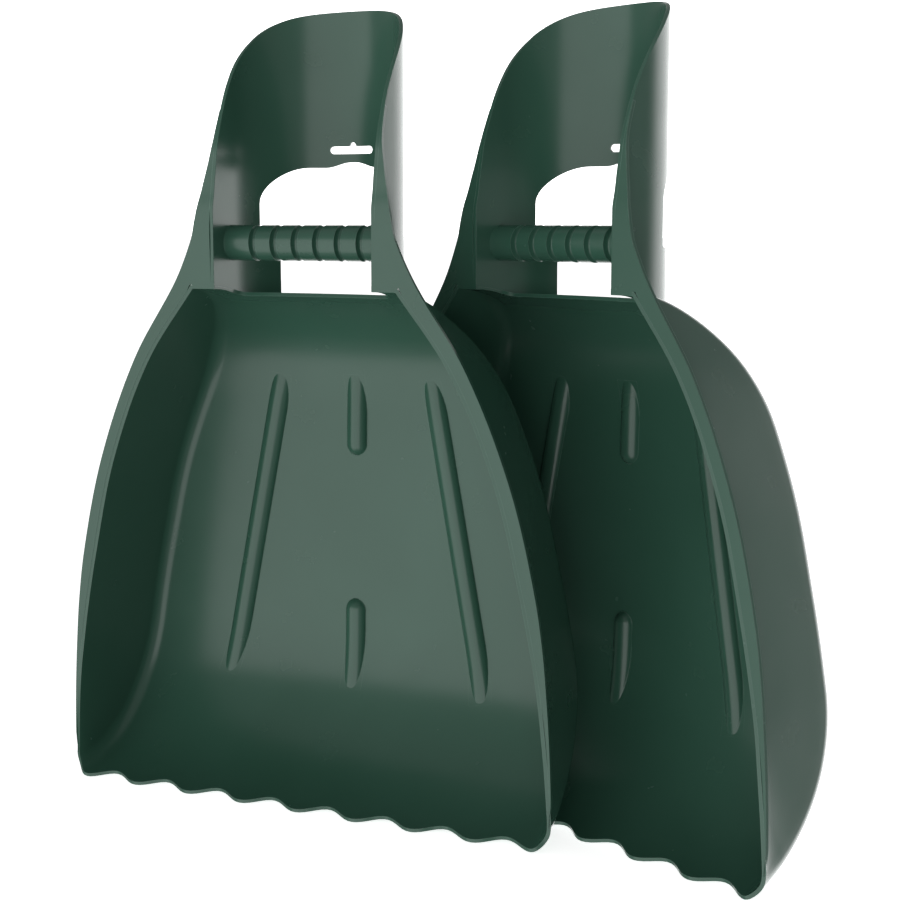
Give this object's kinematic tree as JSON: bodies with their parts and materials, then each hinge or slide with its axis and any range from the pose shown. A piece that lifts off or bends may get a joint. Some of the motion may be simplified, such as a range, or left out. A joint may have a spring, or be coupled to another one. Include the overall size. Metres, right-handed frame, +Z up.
{
  "type": "leaf grabber hands",
  "caption": "Pair of rigid leaf scoops worn on the hands, each a wide bowl with a scalloped lip, a ribbed floor, an open arm guard, a ridged grip bar and a hang slot.",
  "frame": {"origin": "centre of the left hand's hang slot, on the inside face of its arm guard", "axes": "+Z up from the lips to the tops of the arm guards, +X across the left hand towards the right hand, -Y out of the left bowl's open front"},
  "size_m": [0.4511, 0.1776, 0.4601],
  "materials": {
    "left_bowl_plastic": "satin moulded",
    "left_outer_flange_plastic": "satin moulded",
    "left_inner_flange_plastic": "satin moulded",
    "left_arm_guard_plastic": "satin moulded",
    "left_grip_bar_plastic": "satin moulded",
    "right_bowl_plastic": "satin moulded",
    "right_inner_flange_plastic": "satin moulded",
    "right_outer_flange_plastic": "satin moulded",
    "right_arm_guard_plastic": "satin moulded",
    "right_grip_bar_plastic": "satin moulded"
  },
  "bodies": {
    "left_hand": {"left_bowl": "left_bowl_plastic", "left_outer_flange": "left_outer_flange_plastic", "left_inner_flange": "left_inner_flange_plastic", "left_arm_guard": "left_arm_guard_plastic", "left_grip_bar": "left_grip_bar_plastic"},
    "right_hand": {"right_bowl": "right_bowl_plastic", "right_inner_flange": "right_inner_flange_plastic", "right_outer_flange": "right_outer_flange_plastic", "right_arm_guard": "right_arm_guard_plastic", "right_grip_bar": "right_grip_bar_plastic"}
  },
  "joints": [
    {"name": "swing_to_face", "type": "hinge", "parent": "left_hand", "child": "right_hand", "pos_m": [0.04779, -0.17252, 0], "axis": [0, 0, -1], "range_deg": [0, 158.4]}
  ]
}
